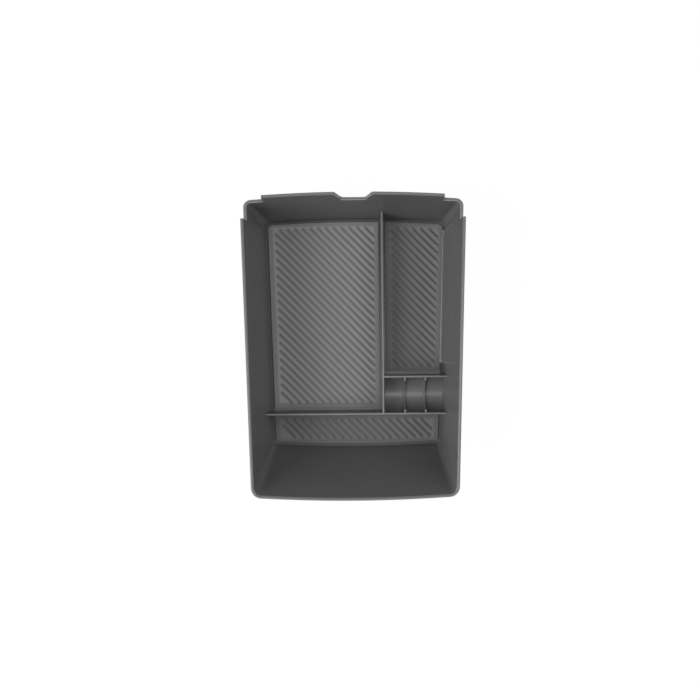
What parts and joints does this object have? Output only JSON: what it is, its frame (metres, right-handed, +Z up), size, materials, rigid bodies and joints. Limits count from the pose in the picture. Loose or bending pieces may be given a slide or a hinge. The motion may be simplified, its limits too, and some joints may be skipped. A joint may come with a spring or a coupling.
{
  "type": "center console storage box",
  "caption": "Open moulded tray for a car's center console, with low dividers, a ribbed coin trough and loose grooved rubber mats.",
  "frame": {"origin": "middle of the bounding box, on the plane that the base rests on", "axes": "+X to the side with the coin trough, +Y to the back wall with the notch, +Z up out of the open top"},
  "size_m": [0.1824, 0.2494, 0.075],
  "materials": {
    "tray_plastic": "fine grained",
    "mat_rubber": "matte"
  },
  "bodies": {
    "root": {"tray": "tray_plastic", "left_mat": "mat_rubber", "right_mat": "mat_rubber", "front_mat": "mat_rubber"}
  },
  "joints": []
}
